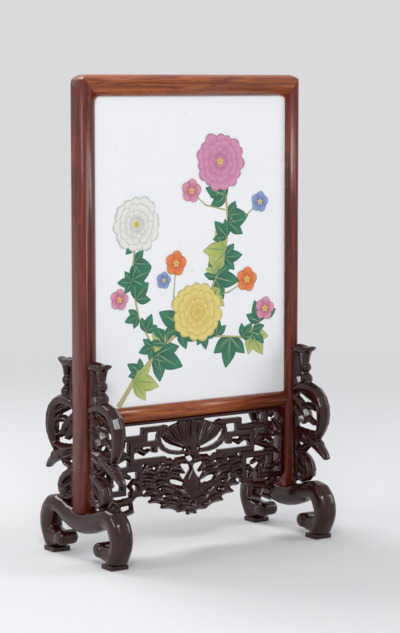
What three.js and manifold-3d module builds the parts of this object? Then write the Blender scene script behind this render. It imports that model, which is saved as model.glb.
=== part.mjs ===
// A porcelain plaque in a carved rosewood stand: millimetres, +Z up, the painted front faces -Y.
// The origin is on the ground, midway between the four toes.
import * as THREE from 'three';
import { mergeVertices } from 'three/addons/utils/BufferGeometryUtils.js';
import Module from 'manifold-3d';

const wasm = await Module();
wasm.setup();

// Driving dimensions.
const HEIGHT = 700;
const HALF_OPENING = 172;
const STILE = 26;
const TOP_RAIL = 30.4;
const BOTTOM_RAIL = 23.3;
const SIGHT_LOW = 217.3;
const HALF_DEPTH = 17;
const GAP = 0.3;
const POST_X = HALF_OPENING + STILE / 2;
const HALF_WIDTH = HALF_OPENING + STILE;
const SIGHT_HIGH = HEIGHT - TOP_RAIL;
const OUTER_ROUND = 20;
// How far a cutter reaches past the face that it cuts, near to it and where nothing else is.
const CUT_OVER = 3;
const CUT_FAR = 60;

// The rebate behind the lip of the frame, and what lies in it.
const LIP_BACK = -8.3;
const LIP_EDGE = -10.8;
const REBATE = 8.3;
const PLATE = 6;
const PLATE_ROUND = 6;
const BOARD = 6.5;
const FILLET = 6.4;
const FILLET_WIDE = 8.8;
const BATTEN = 9;

// Feet.
const FOOT_HALF = 16.5;
const PAD = 7;
const PAD_SIDE = 29;
const PAD_Y = 78;
const SEAT = 68;
const POST_TENON = { halfX: 7, halfY: 10, low: 46 };
const PAD_BEVEL = 1.2;

// Colours of the finishes.
const rosewood = new THREE.MeshStandardMaterial({ color: 0x7a2e20, roughness: 0.3, metalness: 0 });
const darkRosewood = new THREE.MeshStandardMaterial({ color: 0x3c130f, roughness: 0.28, metalness: 0 });
const porcelain = new THREE.MeshStandardMaterial({ color: 0xeef0f4, roughness: 0.12, metalness: 0 });
const backWood = new THREE.MeshStandardMaterial({ color: 0x6b3a25, roughness: 0.6, metalness: 0 });
const bamboo = new THREE.MeshStandardMaterial({ color: 0xb48a4e, roughness: 0.6, metalness: 0 });
const brass = new THREE.MeshStandardMaterial({ color: 0xb08d4a, roughness: 0.4, metalness: 1 });

// Turns a profile drawn as (along, up) and swept sideways into (y, z) swept along x.
const TO_SIDE = new THREE.Matrix4().set(0, 0, 1, 0, 1, 0, 0, 0, 0, 1, 0, 0, 0, 0, 0, 1);
// Turns a profile drawn as (along, up) into (x, z), with its front towards -y.
const TO_FRONT = new THREE.Matrix4().makeRotationX(Math.PI / 2);

function solid(geometry) {
  const bare = geometry.clone();
  bare.deleteAttribute('normal');
  bare.deleteAttribute('uv');
  const merged = mergeVertices(bare, 1e-4);
  return new wasm.Manifold(new wasm.Mesh({
    numProp: 3,
    vertProperties: new Float32Array(merged.attributes.position.array),
    triVerts: new Uint32Array(merged.index.array),
  }));
}

function join(parts) {
  return parts.reduce((whole, part) => whole.add(part));
}

function geometryOf(body) {
  const mesh = body.getMesh();
  const geometry = new THREE.BufferGeometry();
  geometry.setAttribute('position', new THREE.BufferAttribute(new Float32Array(mesh.vertProperties), 3));
  geometry.setIndex(new THREE.BufferAttribute(new Uint32Array(mesh.triVerts), 1));
  return geometry;
}

// The same body seen in a mirror across x = 0 or y = 0.
function mirrored(body, axis) {
  const geometry = geometryOf(body);
  const place = geometry.attributes.position;
  for (let i = 0; i < place.count; i += 1) {
    place.setComponent(i, axis, -place.getComponent(i, axis));
  }
  const index = geometry.index.array;
  for (let i = 0; i < index.length; i += 3) {
    [index[i], index[i + 1]] = [index[i + 1], index[i]];
  }
  return solid(geometry);
}

function box(low, high) {
  const geometry = new THREE.BoxGeometry(high[0] - low[0], high[1] - low[1], high[2] - low[2]);
  geometry.translate((low[0] + high[0]) / 2, (low[1] + high[1]) / 2, (low[2] + high[2]) / 2);
  return solid(geometry);
}

function outline(points) {
  return new THREE.Shape(points.map(([u, v]) => new THREE.Vector2(u, v)));
}

// A flat outline in (x, z) from y = front to y = back, with its edges broken by a bevel.
function facing(shape, front, back, bevel = 0) {
  const geometry = new THREE.ExtrudeGeometry(shape, {
    depth: back - front - 2 * bevel,
    curveSegments: 5,
    bevelEnabled: bevel > 0,
    bevelThickness: bevel,
    bevelSize: bevel,
    bevelOffset: -bevel,
    bevelSegments: 1,
  });
  geometry.translate(0, 0, bevel);
  geometry.applyMatrix4(TO_FRONT);
  geometry.translate(0, back, 0);
  return solid(geometry);
}

function peg(radius, from, to, axis) {
  const span = new THREE.Vector3(...to).sub(new THREE.Vector3(...from));
  const geometry = new THREE.CylinderGeometry(radius, radius, span.length(), 8);
  if (axis === 'x') {
    geometry.rotateZ(Math.PI / 2);
  }
  geometry.translate((from[0] + to[0]) / 2, (from[1] + to[1]) / 2, (from[2] + to[2]) / 2);
  return solid(geometry);
}

// A carved limb: a smooth path of [along, up, half width] with a swelling oval section,
// pointed a little at both ends. halfDeep is half its thickness where it is widest, and taper
// says how far the thickness follows the width. A square below 1 makes the section boxier, and a
// ridged limb has a corner of its section at the front.
function limb(path, halfDeep, matrix, options = {}) {
  const { sides = 6, steps = 8, square = 1, centre = 0, taper = 0.5, ridged = false } = options;
  const curve = new THREE.CatmullRomCurve3(path.map((point) => new THREE.Vector3(...point)));
  const widest = Math.max(...path.map((point) => point[2]));
  const vertices = [];
  const faces = [];
  const rounded = (value) => Math.sign(value) * Math.abs(value) ** square;
  for (let i = 0; i <= steps; i += 1) {
    const at = curve.getPoint(i / steps);
    const ahead = curve.getPoint(Math.min(1, (i + 0.4) / steps));
    const behind = curve.getPoint(Math.max(0, (i - 0.4) / steps));
    const run = new THREE.Vector2(ahead.x - behind.x, ahead.y - behind.y).normalize();
    const deep = halfDeep * (1 - taper + taper * at.z / widest);
    for (let k = 0; k < sides; k += 1) {
      const turn = (k + (ridged ? 0 : 0.5)) / sides * 2 * Math.PI;
      const out = rounded(Math.cos(turn)) * at.z;
      vertices.push(at.x - run.y * out, at.y + run.x * out, centre + rounded(Math.sin(turn)) * deep);
    }
    if (i === 0 || i === steps) {
      const push = (i === 0 ? -0.5 : 0.5) * at.z;
      vertices.push(at.x + run.x * push, at.y + run.y * push, centre);
    }
  }
  const ring = (i, k) => i * sides + (i > 0 ? 1 : 0) + (k % sides);
  const startTip = sides;
  const endTip = (steps + 1) * sides + 1;
  for (let k = 0; k < sides; k += 1) {
    faces.push(startTip, ring(0, k + 1), ring(0, k));
    faces.push(endTip, ring(steps, k), ring(steps, k + 1));
    for (let i = 0; i < steps; i += 1) {
      faces.push(ring(i, k), ring(i, k + 1), ring(i + 1, k + 1));
      faces.push(ring(i, k), ring(i + 1, k + 1), ring(i + 1, k));
    }
  }
  const geometry = new THREE.BufferGeometry();
  geometry.setAttribute('position', new THREE.BufferAttribute(new Float32Array(vertices), 3));
  geometry.setIndex(faces);
  geometry.applyMatrix4(matrix);
  return solid(geometry);
}

// A round lump at (along, up), thicker or thinner sideways by its half thickness.
function lump(along, up, radius, halfDeep, matrix, centre = 0) {
  const geometry = new THREE.SphereGeometry(radius, 8, 5);
  geometry.scale(1, 1, halfDeep / radius);
  geometry.translate(along, up, centre);
  geometry.applyMatrix4(matrix);
  return solid(geometry);
}

// A turned roll whose axis runs sideways, with softened edges.
function roll(along, up, radius, half, soft, matrix) {
  const shape = new THREE.Shape();
  shape.absarc(along, up, radius, 0, 2 * Math.PI);
  const geometry = new THREE.ExtrudeGeometry(shape, {
    depth: 2 * (half - soft),
    curveSegments: 7,
    bevelThickness: soft,
    bevelSize: soft,
    bevelOffset: -soft,
    bevelSegments: 1,
  });
  geometry.translate(0, 0, soft - half);
  geometry.applyMatrix4(matrix);
  return solid(geometry);
}

// A flat bar of the key fret that follows square corners, drawn in (x, z).
function fretBar(path, half, front, back) {
  const left = [];
  const right = [];
  path.forEach(([x, z], i) => {
    const before = path[Math.max(0, i - 1)];
    const after = path[Math.min(path.length - 1, i + 1)];
    const into = new THREE.Vector2(x - before[0], z - before[1]).normalize();
    const away = new THREE.Vector2(after[0] - x, after[1] - z).normalize();
    const side = new THREE.Vector2(-into.y - away.y, into.x + away.x);
    const corner = i > 0 && i < path.length - 1;
    side.multiplyScalar(corner ? 1 : half / side.length());
    if (corner) {
      side.multiplyScalar(half);
    }
    left.push([x + side.x, z + side.y]);
    right.unshift([x - side.x, z - side.y]);
  });
  return facing(outline([...left, ...right]), front, back, FRET_BEVEL);
}

// Frame members. The section runs from the sight edge (0) outwards, with a cushion on the front,
// a quirk, and a softer roll on the outer side.
const SECTION = [
  [0, LIP_EDGE], [1.8, -13.6], [5.5, -16], [10, -HALF_DEPTH], [15, -16.8], [19.5, -15], [23, -12],
  [25, -8.5], [STILE, -4], [STILE, 9], [25.2, 13.5], [22.5, 16.3], [19, HALF_DEPTH], [0, HALF_DEPTH],
];

function stileBlank(side, low, high) {
  const shape = outline(SECTION.map(([u, y]) => [side * (HALF_OPENING + u), y]));
  const geometry = new THREE.ExtrudeGeometry(shape, { depth: high - low, bevelEnabled: false });
  geometry.translate(0, 0, low);
  return solid(geometry);
}

function railBlank(sight, way, wide, half) {
  const shape = outline(SECTION.map(([u, y]) => [y, sight + way * u * wide / STILE]));
  const geometry = new THREE.ExtrudeGeometry(shape, { depth: 2 * half, bevelEnabled: false });
  geometry.translate(0, 0, -half);
  geometry.applyMatrix4(TO_SIDE);
  return solid(geometry);
}

function roundedTop() {
  const shape = new THREE.Shape();
  shape.moveTo(-HALF_WIDTH, 0);
  shape.lineTo(HALF_WIDTH, 0);
  shape.lineTo(HALF_WIDTH, HEIGHT - OUTER_ROUND);
  shape.absarc(HALF_WIDTH - OUTER_ROUND, HEIGHT - OUTER_ROUND, OUTER_ROUND, 0, Math.PI / 2);
  shape.lineTo(-HALF_WIDTH + OUTER_ROUND, HEIGHT);
  shape.absarc(-HALF_WIDTH + OUTER_ROUND, HEIGHT - OUTER_ROUND, OUTER_ROUND, Math.PI / 2, Math.PI);
  return facing(shape, -2 * HALF_DEPTH, 2 * HALF_DEPTH);
}

const mitreHeight = (x) => SIGHT_HIGH + (x - HALF_OPENING) * TOP_RAIL / STILE;

// Everything on one side of the mitre line of the top corner.
function mitreCut(side, above) {
  const near = HALF_OPENING - CUT_OVER;
  const far = HALF_WIDTH + CUT_OVER;
  const clear = above ? -GAP / 2 : GAP / 2;
  const end = above ? HEIGHT + CUT_FAR : SIGHT_HIGH - CUT_FAR;
  return facing(outline([
    [side * near, mitreHeight(near) + clear], [side * far, mitreHeight(far) + clear],
    [side * far, end], [side * near, end],
  ]), -2 * HALF_DEPTH, 2 * HALF_DEPTH);
}

// The thin web of the lip that rounds a corner of the sight opening.
function cornerWeb(side, sight, way, radius) {
  const edge = HALF_OPENING - GAP;
  const shape = new THREE.Shape();
  shape.moveTo(side * edge, sight + way);
  shape.lineTo(side * (HALF_OPENING - radius), sight + way);
  shape.lineTo(side * (HALF_OPENING - radius), sight);
  shape.quadraticCurveTo(side * edge, sight, side * edge, sight - way * radius);
  return facing(shape, LIP_EDGE, LIP_BACK);
}

const rebate = box(
  [-HALF_OPENING - REBATE, LIP_BACK, SIGHT_LOW - REBATE],
  [HALF_OPENING + REBATE, HALF_DEPTH + 1, SIGHT_HIGH + REBATE],
);

const TOP_TENON = { end: 190, y: [-2, 8], z: [678.6, 689.6] };
const LOW_TENON = { end: 190, y: [-4, 10], z: [197, 206] };
const CORNER_TOP = 11;
const CORNER_LOW = 5;
const MITRE_PEG = { x: 187, z: 683.4 };
const RAIL_PEG = { x: 180, z: 201.5 };
const PEG_RADIUS = 1.8;
const PEG_FRONT = -6;
const PEG_PROUD = 0.4;
const TONGUE = { deep: 3.4, y: [-7, -3], low: 100, high: 180, topHalf: 140 };
const DOWELS = [100, 229];
const DOWEL_RADIUS = 2.5;
const DOWEL_IN = 9;
const FOOT_PEG = { radius: 2, up: 57, half: 12 };

function tenon({ end, y, z }, side, from, clear = 0) {
  const span = [side * from, side * (end + clear)].sort((a, b) => a - b);
  return box([span[0], y[0] - clear, z[0] - clear], [span[1], y[1] + clear, z[1] + clear]);
}

function pegHole({ x, z }, side, clear) {
  return peg(PEG_RADIUS + clear, [side * x, PEG_FRONT - clear, z],
    [side * x, HALF_DEPTH + PEG_PROUD + clear, z], 'y');
}

function dowel(side, way, z, clear) {
  const face = way * HALF_DEPTH;
  return peg(DOWEL_RADIUS + clear, [side * POST_X, face - DOWEL_IN - clear, z],
    [side * POST_X, face + DOWEL_IN + clear, z], 'y');
}

function footPeg(side, clear) {
  const middle = side * POST_X;
  const half = FOOT_PEG.half + clear;
  return peg(FOOT_PEG.radius + clear, [middle - half, 0, FOOT_PEG.up], [middle + half, 0, FOOT_PEG.up], 'x');
}

function postTenon(side, clear = 0) {
  const { halfX, halfY, low } = POST_TENON;
  return box([side * POST_X - halfX - clear, -halfY - clear, low - clear],
    [side * POST_X + halfX + clear, halfY + clear, SEAT + GAP + 1]);
}

const cap = roundedTop();

function stile(side) {
  let body = stileBlank(side, SEAT + GAP, HEIGHT).intersect(cap);
  body = body.subtract(mitreCut(side, true)).subtract(rebate);
  body = body.subtract(tenon(TOP_TENON, side, HALF_OPENING, GAP));
  body = body.subtract(tenon(LOW_TENON, side, HALF_OPENING - CUT_OVER, GAP));
  body = body.subtract(pegHole(MITRE_PEG, side, GAP)).subtract(pegHole(RAIL_PEG, side, GAP));
  body = body.subtract(tongue(side, GAP));
  for (const z of DOWELS) {
    body = body.subtract(dowel(side, 1, z, GAP)).subtract(dowel(side, -1, z, GAP));
  }
  return body.add(postTenon(side)).subtract(footPeg(side, GAP));
}

function topRail() {
  let body = railBlank(SIGHT_HIGH, 1, TOP_RAIL, HALF_WIDTH).intersect(cap);
  for (const side of [-1, 1]) {
    body = body.subtract(mitreCut(side, false));
  }
  body = body.subtract(rebate);
  for (const side of [-1, 1]) {
    body = body.add(cornerWeb(side, SIGHT_HIGH, 1, CORNER_TOP));
    body = body.add(tenon(TOP_TENON, side, HALF_OPENING));
    body = body.subtract(pegHole(MITRE_PEG, side, GAP));
  }
  return body;
}

function bottomRail() {
  let body = railBlank(SIGHT_LOW, -1, BOTTOM_RAIL, HALF_OPENING - GAP).subtract(rebate);
  for (const side of [-1, 1]) {
    body = body.add(cornerWeb(side, SIGHT_LOW, -1, CORNER_LOW));
    body = body.add(tenon(LOW_TENON, side, HALF_OPENING - CUT_OVER));
    body = body.subtract(pegHole(RAIL_PEG, side, GAP));
  }
  return body.subtract(topTongue(GAP));
}

// The apron's tongues, in grooves of the posts and of the bottom rail.
const APRON_TOP = SIGHT_LOW - BOTTOM_RAIL - GAP;
const APRON_SIDE = HALF_OPENING - GAP;

function tongue(side, clear = 0) {
  const reach = HALF_OPENING + TONGUE.deep + clear;
  const span = [side * (APRON_SIDE - 1), side * reach].sort((a, b) => a - b);
  return box([span[0], TONGUE.y[0] - clear, TONGUE.low - clear],
    [span[1], TONGUE.y[1] + clear, TONGUE.high + clear]);
}

function topTongue(clear = 0) {
  return box([-TONGUE.topHalf - clear, TONGUE.y[0] - clear, APRON_TOP - 1],
    [TONGUE.topHalf + clear, TONGUE.y[1] + clear, APRON_TOP + TONGUE.deep + clear]);
}

// Small carved leaves have a ridge along their middle and few steps.
const CARVING = { sides: 4, steps: 3, ridged: true };

// The apron: half of it is drawn for +x and mirrored.
const APRON_FRONT = -12;
const APRON_BACK = 1;
const APRON_MID = (APRON_FRONT + APRON_BACK) / 2;
const FRET_HALF = 4;
const FRET_BEVEL = 1.5;
const BORDER_SIDE = 9.5;
const BORDER_TOP = 4.5;
const BORDER_LOW = 88;
const BORDER_ROUND = 16;

function carved(path, halfDeep, options = {}) {
  return limb(path, halfDeep, TO_FRONT, { centre: -APRON_MID, ...CARVING, ...options });
}

function border() {
  const shape = new THREE.Shape();
  const inner = APRON_SIDE - BORDER_SIDE;
  const under = APRON_TOP - BORDER_TOP;
  shape.moveTo(APRON_SIDE, BORDER_LOW);
  shape.lineTo(APRON_SIDE, APRON_TOP);
  shape.lineTo(-1, APRON_TOP);
  shape.lineTo(-1, under);
  shape.lineTo(inner - BORDER_ROUND, under);
  shape.absarc(inner - BORDER_ROUND, under - BORDER_ROUND, BORDER_ROUND, Math.PI / 2, 0, true);
  shape.lineTo(inner, BORDER_LOW);
  return facing(shape, APRON_FRONT + 1, APRON_BACK - 1, 1);
}

// Key-fret bars, from the bat outwards.
const FRETS = [
  [[50, 181], [86, 181], [86, 170], [136, 170], [136, 190]],
  [[48, 135], [110, 135], [110, 160], [68, 160], [68, 146]],
  [[168, 91], [124, 91], [124, 104]],
  [[146, 108], [146, 125], [95, 125], [95, 87], [112, 87]],
];

// Leaf sprays in and around the frets, and the curls in the lower corner.
const SPRAYS = [
  [[110, 148, 3.5], [98, 153, 5.5], [86, 147, 5.5], [76, 151, 3]],
  [[106, 136, 4], [122, 147, 5.5], [138, 157, 6.5], [152, 150, 5.5], [166, 155, 4]],
  [[116, 144, 4], [132, 140, 6], [146, 134, 5.5], [158, 127, 4], [167, 122, 3]],
  [[134, 172, 4], [146, 167, 5.5], [151, 158, 4.5], [145, 150, 3.5]],
  [[152, 176, 4], [160, 168, 5], [166, 158, 3.5]],
  [[122, 102, 4], [131, 111, 6.5], [123, 118, 5.5], [111, 112, 4]],
  [[95, 100, 4], [105, 107, 6], [113, 100, 5.5], [106, 92, 3.5]],
  [[140, 104, 4], [152, 104, 6], [166, 112, 4]],
  [[98, 88, 4], [108, 80, 6.5], [124, 75, 7], [142, 77, 6.5], [156, 87, 4]],
  [[110, 78, 4], [106, 66, 6], [116, 57, 7], [130, 60, 6], [134, 72, 4]],
  [[136, 76, 4], [150, 71, 6.5], [154, 60, 6.5], [143, 54, 6], [132, 61, 4]],
  [[142, 82, 4], [156, 78, 6], [166, 88, 4]],
];

// Rows of cloud lobes round the peach: [height, x of the first lobe, lobes, rise outwards].
const CLOUD_ROWS = [
  [126, 22, 3, -4], [115, 30, 3, 3], [104, 33, 3, 5], [93, 51, 2, 7],
  [82, 20, 3, 8], [71, 10, 3, 9], [61, 14, 2, 8], [53, 9, 1, 5],
];
const LOBE_STEP = 25;
const LOBE_LONG = 34;
const LOBE_HALF = 7;
const LOBE = [[-0.5, -0.12, 0.4], [-0.2, 0.08, 0.95], [0.15, 0.1, 1], [0.5, -0.1, 0.4]];

function cloudRow([height, first, lobes, rise]) {
  return join(Array.from({ length: lobes }, (_, i) => {
    const middle = first + i * LOBE_STEP;
    const path = LOBE.map(([u, v, w]) => [
      middle + u * LOBE_LONG, height + v * LOBE_LONG + u * rise, w * LOBE_HALF,
    ]);
    return carved(path, 7.5, { centre: -APRON_MID + (i % 2 ? 1 : -1) });
  }));
}

// The bat, head down: the ribs of a wing fan out from its head, and a bar curls below them.
const WING = [
  [[6, 150, 3], [10, 168, 4.5], [13, 186, 4]],
  [[8, 150, 3], [19, 167, 4.5], [27, 184, 4]],
  [[9, 149, 3], [27, 163, 4.5], [40, 179, 4]],
  [[10, 148, 3], [32, 157, 4.5], [51, 170, 4]],
  [[44, 182, 3], [54, 181, 5.5], [58, 172, 4]],
];
const WING_BAR = [[58, 178, 3], [61, 164, 4], [52, 150, 4.4], [36, 143, 4.4], [14, 141, 3.4]];
const BAT_BODY = [[0, 188, 4], [0, 176, 6.5], [0, 162, 8], [0, 151, 7], [0, 143, 8], [0, 136, 4]];
const EARS = [8, 139, 5];
const KNOT = [[0, 136, 4], [7, 129, 5], [-2, 121, 5], [0, 112, 4]];

function wingGround() {
  const shape = new THREE.Shape();
  shape.moveTo(-1, 188);
  shape.quadraticCurveTo(34, 190, 56, 172);
  shape.quadraticCurveTo(50, 158, 34, 153);
  shape.quadraticCurveTo(16, 146, -1, 144);
  return facing(shape, APRON_MID - 1, APRON_BACK - 1);
}

function peach() {
  const body = [[0, 115, 2], [-1, 107, 8], [-1, 97, 15], [0, 87, 17], [0, 79, 10], [0, 74, 4]];
  const leaves = [
    [[2, 79, 4], [18, 80, 7.5], [32, 87, 6.5], [45, 95, 2.5]],
    [[-2, 79, 4], [-18, 80, 7.5], [-31, 88, 6.5], [-43, 97, 2.5]],
  ];
  const flesh = carved(body, 10.5, { sides: 10, steps: 6, ridged: false });
  return join([flesh, ...leaves.map((path) => carved(path, 8))]);
}

function apron() {
  const [earX, earZ, earRadius] = EARS;
  const half = join([
    border(),
    wingGround(),
    ...FRETS.map((path) => fretBar(path, FRET_HALF, APRON_FRONT, APRON_BACK)),
    ...SPRAYS.map((path) => carved(path, 7)),
    ...CLOUD_ROWS.map(cloudRow),
    ...WING.map((path) => carved(path, 6.5, { steps: 3 })),
    carved(WING_BAR, 6.5, { steps: 6, ridged: false, square: 0.7 }),
    lump(earX, earZ, earRadius, 6.5, TO_FRONT, -APRON_MID),
    tongue(1),
  ]);
  const middle = [carved(BAT_BODY, 8.5, { sides: 6, steps: 5 }), carved(KNOT, 6), peach(), topTongue()];
  return join([half, mirrored(half, 0), ...middle]);
}

// Spandrels: drawn as (distance in front of the middle plane, height), swept across the post.
function bracket(path, halfDeep, options = {}) {
  return limb(path, halfDeep, TO_SIDE, { ...CARVING, ...options });
}

const SCRIBE = 0.5;
const BEADS = [[45.5, 257.5, 9], [47.5, 240, 10]];

function spandrel(footBelow) {
  const limbs = [
    // Spine against the post.
    bracket([[24, 284, 7], [23, 262, 6], [24, 246, 6.5], [25, 229, 8], [23, 210, 6]], 7.5, { ridged: false }),
    bracket([[23, 216, 6], [22, 190, 6], [23, 160, 6.5], [25, 130, 6.5], [25, 100, 8], [26, 82, 7]], 7.5,
      { ridged: false }),
    // Rolled head with a flared lip, over its neck and two beads.
    bracket([[21, 281, 5], [31, 286, 7.5], [44, 284, 7], [56, 286, 5], [63, 289, 2.5]], 11,
      { steps: 5, sides: 6 }),
    bracket([[48, 284, 9], [46, 275, 6.5], [45.5, 266, 5]], 9, { sides: 6 }),
    ...BEADS.map(([along, up, radius]) => lump(along, up, radius, radius, TO_SIDE)),
    bracket([[27, 276, 4], [29, 260, 6], [29, 242, 6], [36, 230, 5]], 8),
    // Great leaf that bows out and tapers to its tail.
    bracket([[20, 220, 6], [38, 227, 8], [60, 227, 9.5], [79, 216, 10.5], [88, 197, 10.5], [88, 178, 9],
      [82, 162, 6], [77, 152, 3]], 11.5, { steps: 11, sides: 6 }),
    bracket([[80, 160, 4], [62, 157, 6.5], [44, 157, 7.5], [24, 161, 6]], 9.5),
    // Leaves inside the bow.
    bracket([[20, 212, 5], [34, 203, 7.5], [48, 192, 7], [57, 177, 4]], 10),
    bracket([[42, 199, 4], [58, 200, 6.5], [77, 194, 3]], 9),
    bracket([[38, 219, 4], [54, 215, 6.5], [74, 206, 4]], 9),
    bracket([[48, 186, 4], [61, 177, 7], [76, 174, 3]], 9),
    bracket([[22, 194, 5], [33, 185, 7.5], [44, 172, 5]], 10),
    // Head that looks out below the bow.
    bracket([[46, 154, 6], [60, 149, 7.5], [72, 143, 8.5], [84, 136, 7], [93, 129, 5], [98, 123, 3]], 10.5,
      { steps: 6, sides: 6 }),
    lump(78, 142, 9, 10.5, TO_SIDE),
    bracket([[24, 152, 6], [38, 147, 7.5], [54, 143, 5]], 9.5),
    bracket([[58, 140, 4], [47, 133, 6], [34, 131, 6.5], [24, 137, 5]], 8.5),
    // Leaf with a curl and a ball over the foot.
    bracket([[24, 127, 6], [38, 122, 8.5], [50, 114, 8.5], [58, 103, 8], [58, 91, 6]], 11,
      { steps: 5, sides: 6 }),
    bracket([[58, 92, 6], [49, 84, 7], [39, 87, 6], [34, 96, 4]], 10),
    bracket([[26, 112, 5], [38, 104, 7.5], [48, 100, 6]], 10),
    lump(51, 94, 9.5, 11, TO_SIDE),
    bracket([[24, 90, 7], [38, 84, 6], [52, 82, 5]], 9.5),
  ];
  let body = mirrored(join(limbs), 1);
  // The back is cut flat where it meets the post.
  body = body.subtract(box([-FOOT_HALF, -HALF_DEPTH - GAP, SEAT], [FOOT_HALF, 0, HEIGHT]));
  // Its underside is scribed to the top of the foot.
  body = body.subtract(solid(geometryOf(footBelow).translate(0, 0, SCRIBE)));
  for (const z of DOWELS) {
    body = body.subtract(peg(DOWEL_RADIUS + GAP, [0, -HALF_DEPTH - DOWEL_IN - GAP, z], [0, 0, z], 'y'));
  }
  return body;
}

// Feet: a bridge that swells into a shoulder at each end, stands on its toe and rolls inwards.
const SHOULDER = [
  [-8, 56, 18], [16, 57, 18], [40, 62.5, 15.5], [60, 71, 14], [78, 71, 15.5], [90, 58, 17], [94.5, 42, 15.5],
  [92, 28, 13.5], [84, 14, 13], [80, 5, 13],
];
const TOE_CURL = [[88, 24, 13], [75, 21, 13.5], [63, 20, 12.5], [54, 22, 10]];
const ROLL = { along: 52, up: 23.5, radius: 11.5, soft: 3.5 };

function foot() {
  const swept = { square: 0.72, sides: 10, taper: 0.1 };
  const half = join([
    limb(SHOULDER, FOOT_HALF, TO_SIDE, { ...swept, steps: 13 }),
    limb(TOE_CURL, FOOT_HALF - 1, TO_SIDE, { ...swept, steps: 3 }),
    roll(ROLL.along, ROLL.up, ROLL.radius, FOOT_HALF, ROLL.soft, TO_SIDE),
  ]);
  let body = half.add(mirrored(half, 1));
  body = body.subtract(box([-CUT_FAR, -HEIGHT, -CUT_FAR], [CUT_FAR, HEIGHT, PAD + GAP]));
  const seat = box([-STILE / 2 - GAP, -HALF_DEPTH - GAP, SEAT],
    [STILE / 2 + GAP, HALF_DEPTH + GAP, SEAT + CUT_FAR]);
  return body.subtract(seat);
}

const group = new THREE.Group();

function add(name, body, look, place = [0, 0, 0]) {
  const mesh = new THREE.Mesh(geometryOf(body), look);
  mesh.name = name;
  mesh.position.set(...place);
  group.add(mesh);
}

const SIDES = [['left', -1], ['right', 1]];
const WAYS = [['front', 1], ['back', -1]];

for (const [side, sign] of SIDES) {
  add(`${side}_stile`, stile(sign), rosewood);
}
add('top_rail', topRail(), rosewood);
add('bottom_rail', bottomRail(), rosewood);

// Plaque, backing and the strips that hold them.
const inX = HALF_OPENING + REBATE - 2 * GAP;
const inLow = SIGHT_LOW - REBATE + 2 * GAP;
const inHigh = SIGHT_HIGH + REBATE - 2 * GAP;
const plateBack = LIP_BACK + GAP + PLATE;
const boardBack = plateBack + GAP + BOARD;
const filletFront = boardBack + GAP;

function roundedPlate() {
  const shape = new THREE.Shape();
  const round = PLATE_ROUND;
  shape.moveTo(-inX + round, inLow);
  shape.absarc(inX - round, inLow + round, round, -Math.PI / 2, 0);
  shape.absarc(inX - round, inHigh - round, round, 0, Math.PI / 2);
  shape.absarc(-inX + round, inHigh - round, round, Math.PI / 2, Math.PI);
  shape.absarc(-inX + round, inLow + round, round, Math.PI, Math.PI * 1.5);
  return facing(shape, LIP_BACK + GAP, plateBack);
}

const PIN_ROWS = [260, 443, 626];
const PIN_COLUMNS = [-95, 95];
const PIN_RADIUS = 1.2;
const PIN_SHORT = 3;
const PIN_PROUD = 0.5;
const pinX = HALF_OPENING + REBATE - FILLET_WIDE / 2 - GAP;
const pinLow = SIGHT_LOW - REBATE + FILLET_WIDE / 2 + GAP;
const pinHigh = SIGHT_HIGH + REBATE - FILLET_WIDE / 2 - GAP;
const pinPlaces = [
  ...PIN_ROWS.flatMap((z) => [[-pinX, z], [pinX, z]]),
  ...PIN_COLUMNS.flatMap((x) => [[x, pinLow], [x, pinHigh]]),
];

function pin([x, z], clear = 0) {
  return peg(PIN_RADIUS + clear, [x, plateBack + PIN_SHORT - clear, z],
    [x, filletFront + FILLET + PIN_PROUD + clear, z], 'y');
}

const pinHoles = join(pinPlaces.map((place) => pin(place, GAP)));
add('porcelain_plaque', roundedPlate(), porcelain);
add('back_board', box([-inX, plateBack + GAP, inLow], [inX, boardBack, inHigh]).subtract(pinHoles), backWood);
for (const [side, sign] of SIDES) {
  const span = [sign * (inX - FILLET_WIDE), sign * inX].sort((a, b) => a - b);
  const strip = box([span[0], filletFront, inLow], [span[1], filletFront + FILLET, inHigh]);
  add(`fillet_${side}`, strip.subtract(pinHoles), rosewood);
}
const stripEnd = inX - FILLET_WIDE - GAP;
add('fillet_top', box([-stripEnd, filletFront, inHigh - FILLET_WIDE],
  [stripEnd, filletFront + FILLET, inHigh]).subtract(pinHoles), rosewood);
add('fillet_bottom', box([-stripEnd, filletFront, inLow],
  [stripEnd, filletFront + FILLET, inLow + FILLET_WIDE]).subtract(pinHoles), rosewood);
pinPlaces.forEach((place, i) => add(`fillet_pin_${i + 1}`, pin(place), brass));
const BATTEN_HALF = 16;
const BATTEN_BEVEL = 2;
for (const [name, z] of [['lower', 334], ['upper', 553]]) {
  const shape = outline([
    [-stripEnd, z - BATTEN_HALF], [stripEnd, z - BATTEN_HALF], [stripEnd, z + BATTEN_HALF],
    [-stripEnd, z + BATTEN_HALF],
  ]);
  add(`back_batten_${name}`, facing(shape, filletFront, filletFront + BATTEN, BATTEN_BEVEL), backWood);
}

add('carved_apron', apron(), darkRosewood);

const footBody = foot();
const bracketBody = spandrel(footBody);
const bracketBack = mirrored(bracketBody, 1);
for (const [side, sign] of SIDES) {
  for (const [way, ahead] of WAYS) {
    const body = ahead > 0 ? bracketBody : bracketBack;
    add(`spandrel_${side}_${way}`, body, darkRosewood, [sign * POST_X, 0, 0]);
  }
}

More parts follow.
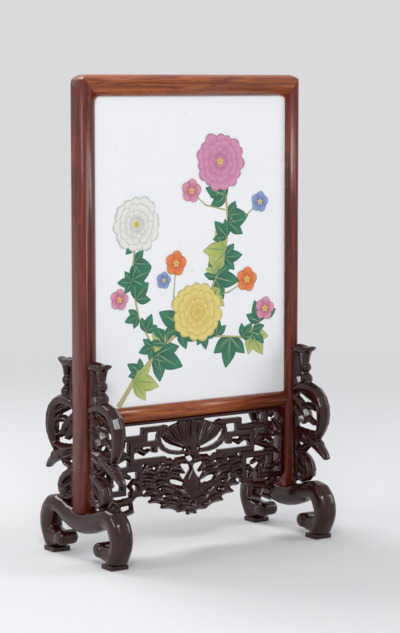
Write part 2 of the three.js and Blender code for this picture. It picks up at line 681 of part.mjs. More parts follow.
for (const [side, sign] of SIDES) {
  const place = new THREE.Matrix4().makeTranslation(sign * POST_X, 0, 0);
  const placed = solid(geometryOf(footBody).applyMatrix4(place));
  add(`foot_${side}`, placed.subtract(postTenon(sign, GAP)).subtract(footPeg(sign, GAP)), darkRosewood);
  for (const [way, ahead] of WAYS) {
    const half = PAD_SIDE / 2;
    const shape = outline([[-half, 0], [half, 0], [half, PAD], [-half, PAD]]);
    const pad = facing(shape, -half, half, PAD_BEVEL);
    add(`toe_pad_${side}_${way}`, pad, darkRosewood, [sign * POST_X, -ahead * PAD_Y, 0]);
  }
}

for (const [side, sign] of SIDES) {
  add(`mitre_peg_${side}`, pegHole(MITRE_PEG, sign, 0), bamboo);
  add(`rail_peg_${side}`, pegHole(RAIL_PEG, sign, 0), bamboo);
  add(`foot_peg_${side}`, footPeg(sign, 0), bamboo);
  for (const [way, ahead] of WAYS) {
    DOWELS.forEach((z, i) => add(`dowel_${side}_${way}_${i + 1}`, dowel(sign, -ahead, z, 0), bamboo));
  }
}

export default group;
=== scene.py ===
# %% [markdown]
# A porcelain plaque stands in a carved rosewood frame on two scroll feet. The construction comes ready made
# as CAD solids, so this lesson is about surface: rounding the carving, drawing enamel on glaze, and mixing
# woods and a glaze from procedural nodes. Everything is in metres, and the painted front faces -Y.

# %% Load the solids
import math
import random

import bpy
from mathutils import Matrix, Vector


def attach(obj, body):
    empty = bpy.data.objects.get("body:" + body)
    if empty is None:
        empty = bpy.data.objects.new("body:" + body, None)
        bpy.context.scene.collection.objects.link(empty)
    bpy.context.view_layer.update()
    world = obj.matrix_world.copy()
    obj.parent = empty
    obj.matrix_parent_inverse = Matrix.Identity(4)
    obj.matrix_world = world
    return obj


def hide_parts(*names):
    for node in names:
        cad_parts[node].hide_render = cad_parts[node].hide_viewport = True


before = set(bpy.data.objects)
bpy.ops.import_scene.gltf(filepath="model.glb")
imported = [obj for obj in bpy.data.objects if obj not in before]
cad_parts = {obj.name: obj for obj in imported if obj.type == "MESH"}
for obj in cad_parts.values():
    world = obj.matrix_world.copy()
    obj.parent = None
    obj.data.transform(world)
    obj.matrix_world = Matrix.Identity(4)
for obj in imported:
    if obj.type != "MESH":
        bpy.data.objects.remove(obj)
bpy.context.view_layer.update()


# %% [markdown]
# The camera stands to the left of the screen and a little above its middle, with a long lens, so that the
# upright edges stay almost parallel. Its place was worked out from the corners of the frame.

# %% Camera
CAMERA_PLACE = (-1.8388, -2.5984, 0.6874)
CAMERA_DOWN = 6.178
CAMERA_TURN = -35.571
LENS = 122.56

lens = bpy.data.cameras.new("camera")
lens.lens = LENS
lens.sensor_width = 36.0
camera = bpy.data.objects.new("camera", lens)
camera.location = CAMERA_PLACE
camera.rotation_euler = (math.radians(90 - CAMERA_DOWN), 0, math.radians(CAMERA_TURN))
bpy.context.scene.collection.objects.link(camera)
bpy.context.scene.camera = camera
bpy.context.scene.view_settings.view_transform = "Standard"
print("camera at", CAMERA_PLACE)

# %% [markdown]
# Polished rosewood is nearly a dark mirror, so what it shows is the lamps. Four soft lamps stand round the
# object: a key in front and above, weaker ones at both sides, and one behind and above, which draws the
# pale glints along the tops of the carving. They are kept low enough that the white glaze isn't burnt out.
# None stands where the flat glaze would mirror it into the lens.

# %% Lamps
LAMPS = {
    "key": {"place": (-1.7, -2.3, 2.2), "side": 1.0, "power": 44},
    "side": {"place": (-2.6, 0.2, 1.2), "side": 0.9, "power": 14},
    "fill": {"place": (2.6, -1.5, 1.5), "side": 1.2, "power": 24},
    "top": {"place": (-0.3, 1.5, 2.3), "side": 1.2, "power": 30},
}
AIM = Vector((0, 0, 0.33))


def add_lamp(name, place, side, power):
    """A square soft lamp that looks at the middle of the object."""
    data = bpy.data.lights.new(name, "AREA")
    data.shape = "SQUARE"
    data.size = side
    data.energy = power
    lamp = bpy.data.objects.new(name, data)
    lamp.location = place
    lamp.rotation_euler = (AIM - Vector(place)).to_track_quat("-Z", "Y").to_euler()
    bpy.context.scene.collection.objects.link(lamp)


for lamp_name, facts in LAMPS.items():
    add_lamp(lamp_name, **facts)
print("lamps:", ", ".join(LAMPS))

# %% [markdown]
# Colours are written as sRGB hex values, as a paint chart gives them, and one function turns them to the
# linear values that shaders need. One more small function adds a shader node with its settings, values and
# links, so that each material reads as a list of what it is made of. A Mix node takes two colours at its
# sockets 6 and 7 and gives the blend at its output 2, so these three places have names.

# %% Helpers for materials
MM = 0.001
FIRST_COLOUR = 6
SECOND_COLOUR = 7
BLEND = 2


def paint(text):
    """An sRGB hex colour as linear red, green, blue and alpha."""
    channels = [int(text[i:i + 2], 16) / 255 for i in (1, 3, 5)]
    linear = [c / 12.92 if c <= 0.04045 else ((c + 0.055) / 1.055) ** 2.4 for c in channels]
    return (*linear, 1.0)


def add_node(tree, kind, values=None, links=None, **settings):
    """One shader node: its settings, its socket values, and the sockets that feed it."""
    made = tree.nodes.new(kind)
    for name, value in settings.items():
        setattr(made, name, value)
    for name, value in (values or {}).items():
        made.inputs[name].default_value = value
    for name, source in (links or {}).items():
        tree.links.new(source, made.inputs[name])
    return made


def new_material(name):
    """An empty node material and its tree."""
    material = bpy.data.materials.new(name)
    material.use_nodes = True
    material.node_tree.nodes.clear()
    return material, material.node_tree


def close_material(tree, shader):
    """Joins the last shader to the output."""
    add_node(tree, "ShaderNodeOutputMaterial", links={"Surface": shader.outputs[0]})


# %% [markdown]
# The room is a soft even light. The lens, and every mirror in the scene, sees a plain pale backdrop. The
# floor is a matt pale plane that thins out with distance, so it meets the backdrop without a line. It lies
# a hair under the feet, so that no two faces share a plane.

# %% World and floor
ROOM_LIGHT = {"Color": paint("#F4F5F7"), "Strength": 0.46}
BACKDROP = {"Color": paint("#E9EAEC"), "Strength": 0.85}
FLOOR_SIDE = 14.0
FLOOR_DROP = 0.2 * MM
FLOOR_FADE = {"From Min": 0.9, "From Max": 2.6}

world = bpy.data.worlds.new("studio")
world.use_nodes = True
world.node_tree.nodes.clear()
path = add_node(world.node_tree, "ShaderNodeLightPath")
soft = add_node(world.node_tree, "ShaderNodeBackground", ROOM_LIGHT)
seen = add_node(world.node_tree, "ShaderNodeBackground", BACKDROP)
mirrors = add_node(world.node_tree, "ShaderNodeMath", links={
    0: path.outputs["Is Glossy Ray"], 1: path.outputs["Is Transmission Ray"]}, operation="MAXIMUM")
looks = add_node(world.node_tree, "ShaderNodeMath", links={
    0: path.outputs["Is Camera Ray"], 1: mirrors.outputs[0]}, operation="MAXIMUM")
either = add_node(world.node_tree, "ShaderNodeMixShader", links={
    0: looks.outputs[0], 1: soft.outputs[0], 2: seen.outputs[0]})
add_node(world.node_tree, "ShaderNodeOutputWorld", links={"Surface": either.outputs[0]})
bpy.context.scene.world = world

bpy.ops.object.select_all(action="DESELECT")
bpy.ops.mesh.primitive_plane_add(size=FLOOR_SIDE, location=(0, 0, -FLOOR_DROP))
floor = bpy.context.object
floor.name = "floor"
bpy.ops.object.transform_apply(location=True, rotation=True, scale=True)
floor_finish, tree = new_material("matt_studio_floor")
matt = add_node(tree, "ShaderNodeBsdfPrincipled", {
    "Base Color": paint("#E6E7E9"), "Roughness": 0.8, "Specular IOR Level": 0.2})
spot = add_node(tree, "ShaderNodeTexCoord")
far = add_node(tree, "ShaderNodeVectorMath", links={0: spot.outputs["Object"]}, operation="LENGTH")
fade = add_node(tree, "ShaderNodeMapRange", FLOOR_FADE, {"Value": far.outputs["Value"]},
                interpolation_type="SMOOTHSTEP")
clear = add_node(tree, "ShaderNodeBsdfTransparent")
close_material(tree, add_node(tree, "ShaderNodeMixShader", links={
    0: fade.outputs[0], 1: matt.outputs[0], 2: clear.outputs[0]}))
floor.data.materials.append(floor_finish)
print("floor", FLOOR_SIDE, "m")

# %% [markdown]
# Rosewood (hongmu) is heavy and fine grained, with dark bands and long open pores. The frame is planed,
# waxed and rubbed, so its clear skin mirrors the lamps, while the wood below stays warm. Grain runs along
# each member: the pattern is a noise stretched along that axis, with bands 9 mm and pores 0.9 mm wide. Real
# pores are a quarter of that or less, too fine to show, so they are drawn as coarse as they need to be.

# %% Rosewood of the frame
BAND = 9 * MM
PORE = 0.9 * MM
PORE_DEPTH = 0.06 * MM
GRAIN_STRETCH = 0.07


def planed_rosewood(name, along, dark, light):
    """Waxed rosewood with its grain along one axis, 0 for X or 2 for Z."""
    material, tree = new_material(name)
    place = add_node(tree, "ShaderNodeTexCoord")
    stretch = [1.0, 1.0, 1.0]
    stretch[along] = GRAIN_STRETCH
    grain = add_node(tree, "ShaderNodeMapping", {"Scale": stretch}, {"Vector": place.outputs["Object"]})
    bands = add_node(tree, "ShaderNodeTexNoise", {"Scale": 1 / BAND, "Detail": 4.0, "Distortion": 1.4},
                     {"Vector": grain.outputs[0]})
    pores = add_node(tree, "ShaderNodeTexNoise", {"Scale": 1 / PORE, "Detail": 2.0},
                     {"Vector": grain.outputs[0]})
    broad = add_node(tree, "ShaderNodeMapRange", {"From Min": 0.34, "From Max": 0.66},
                     {"Value": bands.outputs[0]})
    dots = add_node(tree, "ShaderNodeMapRange", {"From Min": 0.58, "From Max": 0.68},
                    {"Value": pores.outputs[0]})
    body = add_node(tree, "ShaderNodeMix", {FIRST_COLOUR: paint(dark), SECOND_COLOUR: paint(light)},
                    {0: broad.outputs[0]}, data_type="RGBA")
    share = add_node(tree, "ShaderNodeMath", {1: 0.75}, {0: dots.outputs[0]}, operation="MULTIPLY")
    coloured = add_node(tree, "ShaderNodeMix", {SECOND_COLOUR: paint("#2A0D08")},
                        {0: share.outputs[0], FIRST_COLOUR: body.outputs[BLEND]}, data_type="RGBA")
    pits = add_node(tree, "ShaderNodeBump", {"Strength": 0.25, "Distance": PORE_DEPTH},
                    {"Height": dots.outputs[0]}, invert=True)
    close_material(tree, add_node(tree, "ShaderNodeBsdfPrincipled", {
        "Roughness": 0.3, "Specular IOR Level": 0.36, "Coat Weight": 0.12, "Coat Roughness": 0.1,
    }, {"Base Color": coloured.outputs[BLEND], "Normal": pits.outputs[0]}))
    return material


# Painted light and shade: one rosewood is made twice, the uprights painted darker and the level members
# lighter.
stile_wood_painted_darker = planed_rosewood("waxed_rosewood_upright_painted_darker", 2, "#4E1912", "#80341F")
rail_wood_painted_lighter = planed_rosewood("waxed_rosewood_level_painted_lighter", 0, "#74301A", "#B86431")
print("woods:", stile_wood_painted_darker.name, rail_wood_painted_lighter.name)

# %% [markdown]
# The carving is the same timber stained nearly black-red, oiled and rubbed by hand. Its colour follows how
# far a point stands out, which the Pointiness output gives: the high places are mixed to a paler red,
# partly the wear of hands and cloths and partly a painted highlight, and the hollows are mixed to
# near-black, painted shade.

# %% Carved rosewood
STAIN_CLOUD = 22 * MM


def carved_rosewood(name):
    """Dark stained carving, paler red on its high places as wear and painted highlight, near-black in its
    hollows as painted shade.
    """
    material, tree = new_material(name)
    place = add_node(tree, "ShaderNodeTexCoord")
    cloud = add_node(tree, "ShaderNodeTexNoise", {"Scale": 1 / STAIN_CLOUD, "Detail": 3.0},
                     {"Vector": place.outputs["Object"]})
    base = add_node(tree, "ShaderNodeMix", {
        FIRST_COLOUR: paint("#1A0607"), SECOND_COLOUR: paint("#3C0F0B"),
    }, {0: cloud.outputs[0]}, data_type="RGBA")
    stand = add_node(tree, "ShaderNodeNewGeometry")
    # Painted highlight, with some wear: the high places are mixed to a paler red.
    edge_mask = add_node(tree, "ShaderNodeMapRange", {"From Min": 0.53, "From Max": 0.62, "To Max": 0.7},
                    {"Value": stand.outputs["Pointiness"]})
    ridge_wear_and_highlight = add_node(tree, "ShaderNodeMix", {SECOND_COLOUR: paint("#622015")},
                     {0: edge_mask.outputs[0], FIRST_COLOUR: base.outputs[BLEND]}, data_type="RGBA")
    # Painted shade: the hollows are mixed to near-black.
    painted_hollow_shade = add_node(tree, "ShaderNodeMapRange", {"From Min": 0.40, "From Max": 0.49},
                    {"Value": stand.outputs["Pointiness"]})
    whole = add_node(tree, "ShaderNodeMix", {FIRST_COLOUR: paint("#0E0404")},
                     {0: painted_hollow_shade.outputs[0], SECOND_COLOUR: ridge_wear_and_highlight.outputs[BLEND]}, data_type="RGBA")
    close_material(tree, add_node(tree, "ShaderNodeBsdfPrincipled", {
        "Roughness": 0.19, "Specular IOR Level": 0.45,
    }, {"Base Color": whole.outputs[BLEND]}))
    return material


carving = carved_rosewood("oiled_carved_rosewood")
print("carving:", carving.name)

# %% [markdown]
# The plaque is hard-paste porcelain: a cold white body under a clear glaze fired to glass. It isn't quite
# even: faint clouds of grey, a few iron specks, and a broken grey line along its edge where it meets the
# frame.
# SIGHT gives the edges of the part that shows: half its width, and the heights of its foot and its top.

# %% Glazed porcelain
SIGHT = {"x": 172 * MM, "low": 217.3 * MM, "high": 669.6 * MM}
RIM_LINE = 1.6 * MM
RIM_LINE_BREAK = 7 * MM
GLAZE_CLOUD = 60 * MM
SPECK_GAP = 26 * MM


def glazed_porcelain(name):
    """White porcelain under a clear glaze, with specks and a broken grey line along its edge."""
    material, tree = new_material(name)
    place = add_node(tree, "ShaderNodeTexCoord")
    where = add_node(tree, "ShaderNodeSeparateXYZ", links={"Vector": place.outputs["Object"]})
    cloud = add_node(tree, "ShaderNodeTexNoise", {"Scale": 1 / GLAZE_CLOUD, "Detail": 2.0},
                     {"Vector": place.outputs["Object"]})
    body = add_node(tree, "ShaderNodeMix", {
        FIRST_COLOUR: paint("#F3F5F8"), SECOND_COLOUR: paint("#F8F9FB"),
    }, {0: cloud.outputs[0]}, data_type="RGBA")
    iron = add_node(tree, "ShaderNodeTexVoronoi", {"Scale": 1 / SPECK_GAP},
                    {"Vector": place.outputs["Object"]})
    speck = add_node(tree, "ShaderNodeMapRange", {"From Min": 0.045, "From Max": 0.02, "To Max": 0.6},
                     {"Value": iron.outputs["Distance"]})
    specked = add_node(tree, "ShaderNodeMix", {SECOND_COLOUR: paint("#8D8478")},
                       {0: speck.outputs[0], FIRST_COLOUR: body.outputs[BLEND]}, data_type="RGBA")
    # A broken grey line along the edge of the part that shows, where the glaze meets the frame.
    off_centre = add_node(tree, "ShaderNodeMath", links={0: where.outputs["X"]}, operation="ABSOLUTE")
    at_side = add_node(tree, "ShaderNodeMapRange", {
        "From Min": SIGHT["x"] - RIM_LINE, "From Max": SIGHT["x"],
    }, {"Value": off_centre.outputs[0]})
    at_top = add_node(tree, "ShaderNodeMapRange", {
        "From Min": SIGHT["high"] - RIM_LINE, "From Max": SIGHT["high"],
    }, {"Value": where.outputs["Z"]})
    at_foot = add_node(tree, "ShaderNodeMapRange", {
        "From Min": SIGHT["low"] + RIM_LINE, "From Max": SIGHT["low"],
    }, {"Value": where.outputs["Z"]})
    ends = add_node(tree, "ShaderNodeMath", links={0: at_top.outputs[0], 1: at_foot.outputs[0]},
                    operation="MAXIMUM")
    rim = add_node(tree, "ShaderNodeMath", links={0: ends.outputs[0], 1: at_side.outputs[0]},
                   operation="MAXIMUM")
    broken = add_node(tree, "ShaderNodeTexNoise", {"Scale": 1 / RIM_LINE_BREAK, "Detail": 3.0},
                      {"Vector": place.outputs["Object"]})
    edge_mask = add_node(tree, "ShaderNodeMath", links={0: rim.outputs[0], 1: broken.outputs[0]},
                    operation="MULTIPLY")
    whole = add_node(tree, "ShaderNodeMix", {SECOND_COLOUR: paint("#5E5A54")},
                     {0: edge_mask.outputs[0], FIRST_COLOUR: specked.outputs[BLEND]}, data_type="RGBA")
    close_material(tree, add_node(tree, "ShaderNodeBsdfPrincipled", {
        "Roughness": 0.08, "Specular IOR Level": 0.5,
    }, {"Base Color": whole.outputs[BLEND]}))
    return material


glaze = glazed_porcelain("clear_glazed_porcelain")
print("glaze:", glaze.name)

# %% [markdown]
# The back is plainer. The board and battens are planed and oiled, the pegs are split bamboo cut nearly
# flush, and the pins are old brass that has lost its shine.

# %% Back board, bamboo and brass
STREAK = 4 * MM
STREAK_STRETCH = 0.05


def plain_wood(name, along, dark, light, rough):
    """Oiled or bare wood with fine streaks along one axis."""
    material, tree = new_material(name)
    place = add_node(tree, "ShaderNodeTexCoord")
    stretch = [1.0, 1.0, 1.0]
    stretch[along] = STREAK_STRETCH
    grain = add_node(tree, "ShaderNodeMapping", {"Scale": stretch}, {"Vector": place.outputs["Object"]})
    streaks = add_node(tree, "ShaderNodeTexNoise", {"Scale": 1 / STREAK, "Detail": 4.0},
                       {"Vector": grain.outputs[0]})
    body = add_node(tree, "ShaderNodeMix", {FIRST_COLOUR: paint(dark), SECOND_COLOUR: paint(light)},
                    {0: streaks.outputs[0]}, data_type="RGBA")
    close_material(tree, add_node(tree, "ShaderNodeBsdfPrincipled", {
        "Roughness": rough, "IOR": 1.5,
    }, {"Base Color": body.outputs[BLEND]}))
    return material


board_wood = plain_wood("oiled_board", 2, "#3E1E12", "#6E3C24", 0.55)
batten_wood = plain_wood("oiled_batten", 0, "#3A1B10", "#663620", 0.5)
bamboo = plain_wood("split_bamboo", 1, "#8C6636", "#C79E62", 0.6)
brass, tree = new_material("old_brass")
close_material(tree, add_node(tree, "ShaderNodeBsdfPrincipled", {
    "Base Color": paint("#A98A4C"), "Metallic": 1.0, "Roughness": 0.42}))
print("back finishes ready")

# %% [markdown]
# A carver leaves no facets: knife and scraper round everything over. Each carved solid is copied, its loose
# triangles are merged, and a voxel remesh gives it an even skin that a few rounds of smoothing melt into
# rubbed, rounded forms. The voxel is 0.7 mm for the small pads and 1.5 mm for the plain thick feet. The
# apron's is just coarse enough to keep that large piece under 200,000 triangles.

# %% Rounding the carving
MERGE = 0.002 * MM
RUBBING = {
    "apron": {"voxel": 1.34 * MM, "rounds": 2},
    "foot": {"voxel": 1.5 * MM, "rounds": 30},
    "spandrel": {"voxel": 1.0 * MM, "rounds": 7},
    "toe_pad": {"voxel": 0.7 * MM, "rounds": 3},
}


def copy_of(node, name):
    """A copy of a CAD piece with its triangles merged."""
    piece = bpy.data.objects.new(name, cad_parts[node].data.copy())
    bpy.context.scene.collection.objects.link(piece)
    bpy.ops.object.select_all(action="DESELECT")
    piece.select_set(True)
    bpy.context.view_layer.objects.active = piece
    bpy.ops.object.mode_set(mode="EDIT")
    bpy.ops.mesh.select_all(action="SELECT")
    bpy.ops.mesh.remove_doubles(threshold=MERGE)
    bpy.ops.object.mode_set(mode="OBJECT")
    return piece


def finish_piece(piece, material, slot, *nodes):
    """Gives a new piece its material and its body, and hides the CAD nodes that it stands for."""
    piece.data.materials.clear()
    piece.data.materials.append(material)
    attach(piece, "root")
    if nodes:
        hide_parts(*nodes)


def apply_modifier(piece, kind, **settings):
    """Adds a modifier to the piece and applies it."""
    bpy.ops.object.select_all(action="DESELECT")
    piece.select_set(True)
    bpy.context.view_layer.objects.active = piece
    made = piece.modifiers.new(kind.lower(), kind)
    for name, value in settings.items():
        setattr(made, name, value)
    bpy.ops.object.modifier_apply(modifier=made.name)


def rounded_carving(node, voxel, rounds):
    """A carved piece with its facets rubbed away."""
    piece = copy_of(node, "rubbed_" + node)
    apply_modifier(piece, "REMESH", mode="VOXEL", voxel_size=voxel)
    apply_modifier(piece, "SMOOTH", factor=0.5, iterations=rounds)
    bpy.ops.object.shade_smooth()
    finish_piece(piece, carving, "carved_rosewood", node)
    print(piece.name, len(piece.data.polygons), "faces")


rounded_carving("carved_apron", **RUBBING["apron"])
for side in ("left", "right"):
    rounded_carving(f"foot_{side}", **RUBBING["foot"])
    for way in ("front", "back"):
        rounded_carving(f"spandrel_{side}_{way}", **RUBBING["spandrel"])
        rounded_carving(f"toe_pad_{side}_{way}", **RUBBING["toe_pad"])

# %% [markdown]
# The planed members keep their crisp mitres. Copies of them only get shading that rolls smoothly over the
# cushion and stays sharp at edges of more than forty degrees. The other solids keep their CAD meshes, and
# only get their finish.

# %% Planed members
SHARP_EDGE = math.radians(40)


def planed(node, material, slot):
    """A planed member whose moulding shades smoothly."""
    piece = copy_of(node, "planed_" + node)
    bpy.ops.object.shade_smooth_by_angle(angle=SHARP_EDGE)
    finish_piece(piece, material, slot, node)


planed("left_stile", stile_wood_painted_darker, "rosewood_frame")
planed("right_stile", stile_wood_painted_darker, "rosewood_frame")
planed("top_rail", rail_wood_painted_lighter, "rosewood_frame")
planed("bottom_rail", rail_wood_painted_lighter, "rosewood_frame")


def dress(node, material):
    """Gives a CAD node that stays its finish."""
    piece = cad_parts[node]
    if piece.material_slots:
        for place in piece.material_slots:
            place.material = material
    else:
        piece.data.materials.append(material)


FINISHES = {
    "porcelain_plaque": glaze, "back_board": board_wood, "fillet_left": stile_wood_painted_darker,
    "fillet_right": stile_wood_painted_darker, "fillet_top": rail_wood_painted_lighter, "fillet_bottom": rail_wood_painted_lighter,
    "back_batten_lower": batten_wood, "back_batten_upper": batten_wood,
}
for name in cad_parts:
    if name in FINISHES:
        dress(name, FINISHES[name])
    elif name.startswith("fillet_pin"):
        dress(name, brass)
    elif "peg" in name or name.startswith("dowel"):
        dress(name, bamboo)
print("CAD nodes dressed")

# %% [markdown]
# The painting is overglaze enamel: opaque colours ground in glass, laid on the fired glaze and fused at a
# low heat, so every stroke stands proud of the glaze: stems least, then leaves, then petals ring by ring,
# up to 1.7 mm. Petals and leaves are small curved sheets of real thickness. There are over five hundred, so
# a formula lays each one out as a grid of points. Every point carries its own tint, darker at the root and
# along the rim, as a loaded brush leaves it.

# %% Strokes of enamel
random.seed(20)
GLAZE_FACE = min(corner[1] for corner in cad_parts["porcelain_plaque"].bound_box)
LONG = 9
WIDE = 6
RELIEF = 0.22 * MM
PETAL_ROUND = 0.06
RIM_SHADE = 0.62
STEM_LIFT = 0.05 * MM
VEIN_LIFT = 0.42 * MM
BLOOM_LIFT = 0.66 * MM
PETAL_STEP = 0.03 * MM
RING_STEP = 0.16 * MM
EYE_STEP = 0.1 * MM
strokes = {"points": [], "faces": [], "tints": []}


def blend_tint(first, second, share):
    """A colour between two, as linear values."""
    return [a + (b - a) * share for a, b in zip(first, second)]


def stroke(x, z, turn, length, width, root, tip, lift, shape="petal", curl=0.0):
    """One petal, leaf or length of stem from its root at (x, z), turned in degrees from upright."""
    angle = math.radians(turn)
    ahead = (math.sin(angle), math.cos(angle))
    aside = (math.cos(angle), -math.sin(angle))
    first = len(strokes["points"])
    tip_round = PETAL_ROUND if shape == "petal" else 0.0
    for i in range(LONG + 1):
        u = i / LONG
        if shape == "petal":
            half = width / 2 * math.sin(math.pi * (0.06 + 0.88 * u) ** 1.3) ** 0.55
        elif shape == "stem":
            half = width / 2 * (0.78 + 0.22 * (2 * u - 1) ** 2)
        else:
            half = width / 2 * math.sin(math.pi * (0.03 + 0.94 * u) ** 0.9)
        for j in range(WIDE + 1):
            v = 2 * j / WIDE - 1
            along = length * u * (1 - tip_round * v * v * u)
            across = half * v + curl * length * u * u
            height = lift + RELIEF * (1 - v * v) * math.sin(math.pi * min(1, u + 0.1))
            strokes["points"].append((
                x + (ahead[0] * along + aside[0] * across), GLAZE_FACE - height,
                z + (ahead[1] * along + aside[1] * across)))
            tint = blend_tint(paint(root), paint(tip), min(1, u * 1.15))
            rim = RIM_SHADE if abs(v) == 1 or i == LONG else 1.0
            strokes["tints"].append([c * rim for c in tint[:3]] + [1.0])
    row = WIDE + 1
    for i in range(LONG):
        for j in range(WIDE):
            a = first + i * row + j
            strokes["faces"].append((a, a + row, a + row + 1, a + 1))


def stem(route, thick, tint):
    """A stem along a list of points, as short overlapping strokes."""
    for (x0, z0), (x1, z1) in zip(route, route[1:]):
        length = math.hypot(x1 - x0, z1 - z0)
        turn = math.degrees(math.atan2(x1 - x0, z1 - z0))
        stroke(x0, z0, turn, length * 1.02, thick, tint, tint, STEM_LIFT, "stem")


def bloom(x, z, radius, rings, root, tip):
    """A full bloom: rings of petals, the inner ones shorter and laid over the outer ones."""
    for ring in range(rings):
        share = 1 - ring / rings
        count = 7 + 2 * (rings - ring)
        for k in range(count):
            turn = 360 * (k + 0.5 * (ring % 2)) / count + random.uniform(-5, 5)
            reach = radius * share * random.uniform(0.92, 1.05)
            stroke(x, z, turn, reach, reach * 0.62, root, tip, BLOOM_LIFT + RING_STEP * ring)
    for k in range(9):
        turn = 360 * k / 9
        stroke(x, z, turn, radius * 0.13, radius * 0.07, "#C9A23A", "#E9CF62",
               BLOOM_LIFT + RING_STEP * rings + EYE_STEP)


def small_bloom(x, z, radius, root, tip):
    """Five broad petals round a yellow eye."""
    for k in range(5):
        stroke(x, z, 72 * k + 10, radius, radius * 0.95, root, tip, BLOOM_LIFT + PETAL_STEP * k)
    for k in range(5):
        stroke(x, z, 72 * k, radius * 0.3, radius * 0.2, "#C79A30", "#EED477", BLOOM_LIFT + 2 * RING_STEP)


def leaf(x, z, turn, length, root, tip):
    """One pointed leaf with a paler midrib."""
    stroke(x, z, turn, length, length * 0.56, root, tip, random.uniform(0.05, 0.2) * MM, "leaf",
           random.uniform(-0.12, 0.12))
    stroke(x, z, turn, length * 0.86, length * 0.045, "#7FA873", "#6E9A6B", VEIN_LIFT, "leaf")


def leaf_group(x, z, turn, length, **tints):
    """Three leaves from one stalk, as on a tree peony."""
    for spread, share in ((-48, 0.8), (0, 1.0), (46, 0.82)):
        leaf(x, z, turn + spread, length * share, **tints)


def foliage(route, length, groups, **tints):
    """Groups of three leaves along a stem, to its left and right by turns."""
    for k in range(groups):
        share = (k + 0.5) / groups * (len(route) - 1)
        i = min(int(share), len(route) - 2)
        (x0, z0), (x1, z1) = route[i], route[i + 1]
        x = x0 + (x1 - x0) * (share - i)
        z = z0 + (z1 - z0) * (share - i)
        ahead = math.degrees(math.atan2(x1 - x0, z1 - z0))
        out = ahead + (75 if k % 2 else -75) + random.uniform(-25, 25)
        leaf_group(x, z, out, length * random.uniform(0.75, 1.15), **tints)


# %% [markdown]
# The picture is a tree peony with wild roses: a pale branch climbs from the lower left and leans to the
# right. It carries a rose bloom at the top, a yellow one low down and a white one on a shoot at the left,
# with small flowers in orange, blue and pink between them.

# %% Painting the plaque
BRANCH = [(-0.132, 0.219), (-0.104, 0.256), (-0.064, 0.292), (-0.018, 0.330), (0.028, 0.372),
          (0.058, 0.424), (0.066, 0.480), (0.058, 0.544)]
SHOOT = [(-0.064, 0.292), (-0.096, 0.346), (-0.108, 0.404), (-0.100, 0.470)]
LOW_SHOOT = [(-0.018, 0.330), (0.040, 0.312), (0.096, 0.306), (0.132, 0.334)]
BARK = "#BDB176"
LOW_BARK = "#B4B278"
YOUNG_BARK = "#A9B070"
GREENS = {"root": "#1E5B45", "tip": "#2F8160"}
LIME = {"root": "#93A84A", "tip": "#C2C873"}
stem(BRANCH[:4], 9 * MM, BARK)
stem(BRANCH[3:], 5 * MM, BARK)
stem(SHOOT, 4 * MM, YOUNG_BARK)
stem(LOW_SHOOT, 4 * MM, LOW_BARK)
for x, z, turn, length, tints in (
    (-0.104, 0.256, 100, 0.044, LIME), (-0.064, 0.292, 120, 0.050, GREENS),
    (-0.018, 0.330, -60, 0.048, GREENS), (0.010, 0.356, 130, 0.052, GREENS),
    (0.040, 0.400, 105, 0.046, GREENS), (0.062, 0.440, -85, 0.042, LIME),
    (0.066, 0.480, 80, 0.038, GREENS), (0.062, 0.520, -70, 0.040, GREENS),
    (0.058, 0.560, 60, 0.036, LIME), (-0.108, 0.404, 70, 0.038, GREENS),
    (-0.100, 0.460, -50, 0.036, GREENS), (0.070, 0.308, 185, 0.046, GREENS),
    (0.110, 0.312, 150, 0.040, LIME), (0.132, 0.334, 20, 0.032, GREENS),
):
    leaf_group(x, z, turn, length, **tints)
foliage(BRANCH[1:], 0.036, 11, **GREENS)
foliage(BRANCH[2:6], 0.030, 5, **LIME)
foliage(SHOOT, 0.032, 7, **GREENS)
foliage(LOW_SHOOT, 0.034, 7, **GREENS)
TWIGS = [
    [(0.028, 0.372), (0.066, 0.376), (0.098, 0.392)], [(0.066, 0.480), (0.096, 0.488), (0.122, 0.508)],
    [(0.060, 0.500), (0.024, 0.508), (0.000, 0.528)], [(-0.018, 0.330), (-0.034, 0.376), (-0.030, 0.420)],
]
for twig in TWIGS:
    stem(twig, 2.4 * MM, YOUNG_BARK)
ROSE_RED = ("#8E2F5E", "#DB94B8")
YELLOW = ("#B9862C", "#EBD87E")
WHITE = ("#8F8D86", "#F0EFEA")
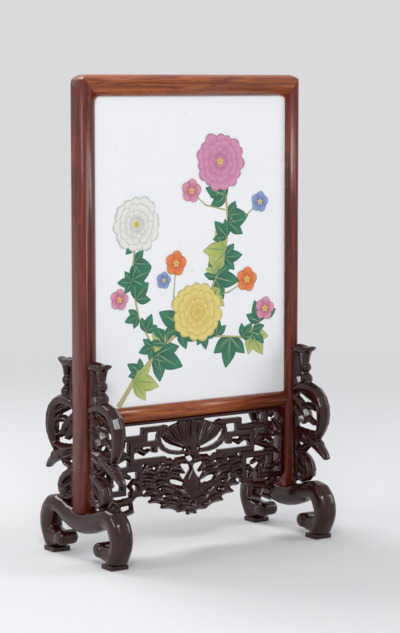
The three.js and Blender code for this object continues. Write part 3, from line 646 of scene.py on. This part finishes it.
ORANGE = ("#C2481E", "#F08A4C")
BLUE = ("#3E5A9C", "#93A9D6")
PINK = ("#A83A60", "#E59CB6")
RINGS = 4
bloom(0.050, 0.572, 0.044, RINGS, *ROSE_RED)
bloom(0.008, 0.350, 0.047, RINGS, *YELLOW)
bloom(-0.100, 0.484, 0.042, RINGS, *WHITE)
SMALL_BLOOMS = [
    (0.100, 0.394, 0.019, ORANGE), (0.124, 0.510, 0.016, BLUE), (-0.002, 0.530, 0.018, PINK),
    (-0.030, 0.424, 0.019, ORANGE), (0.134, 0.348, 0.018, PINK), (-0.130, 0.376, 0.016, PINK),
    (-0.052, 0.400, 0.013, BLUE),
]
for x, z, radius, petals in SMALL_BLOOMS:
    small_bloom(x, z, radius, *petals)
print("strokes of enamel:", len(strokes["faces"]) // (LONG * WIDE))

# %% [markdown]
# All the strokes become one mesh. Solidify gives them their thickness, away from the glaze, and the tints
# reach the material as a colour attribute. Enamel is glass too, so it shines like the glaze round it.

# %% Enamel mesh and finish
ENAMEL_THICK = 0.12 * MM
ENAMEL_EDGE = math.radians(50)

mesh = bpy.data.meshes.new("enamel_painting")
mesh.from_pydata(strokes["points"], [], strokes["faces"])
tints = mesh.color_attributes.new("tint", "FLOAT_COLOR", "POINT")
for spot, tint in zip(tints.data, strokes["tints"]):
    spot.color = tint
painting = bpy.data.objects.new("enamel_painting", mesh)
bpy.context.scene.collection.objects.link(painting)
apply_modifier(painting, "SOLIDIFY", thickness=ENAMEL_THICK, offset=-1.0)
bpy.ops.object.shade_smooth_by_angle(angle=ENAMEL_EDGE)

enamel, tree = new_material("overglaze_enamel")
tinted = add_node(tree, "ShaderNodeAttribute", attribute_name="tint")
close_material(tree, add_node(tree, "ShaderNodeBsdfPrincipled", {
    "Roughness": 0.2, "IOR": 1.5, "Coat Weight": 0.3, "Coat Roughness": 0.08,
}, {"Base Color": tinted.outputs["Color"]}))
finish_piece(painting, enamel, "porcelain")
print("painting:", len(mesh.polygons), "faces")
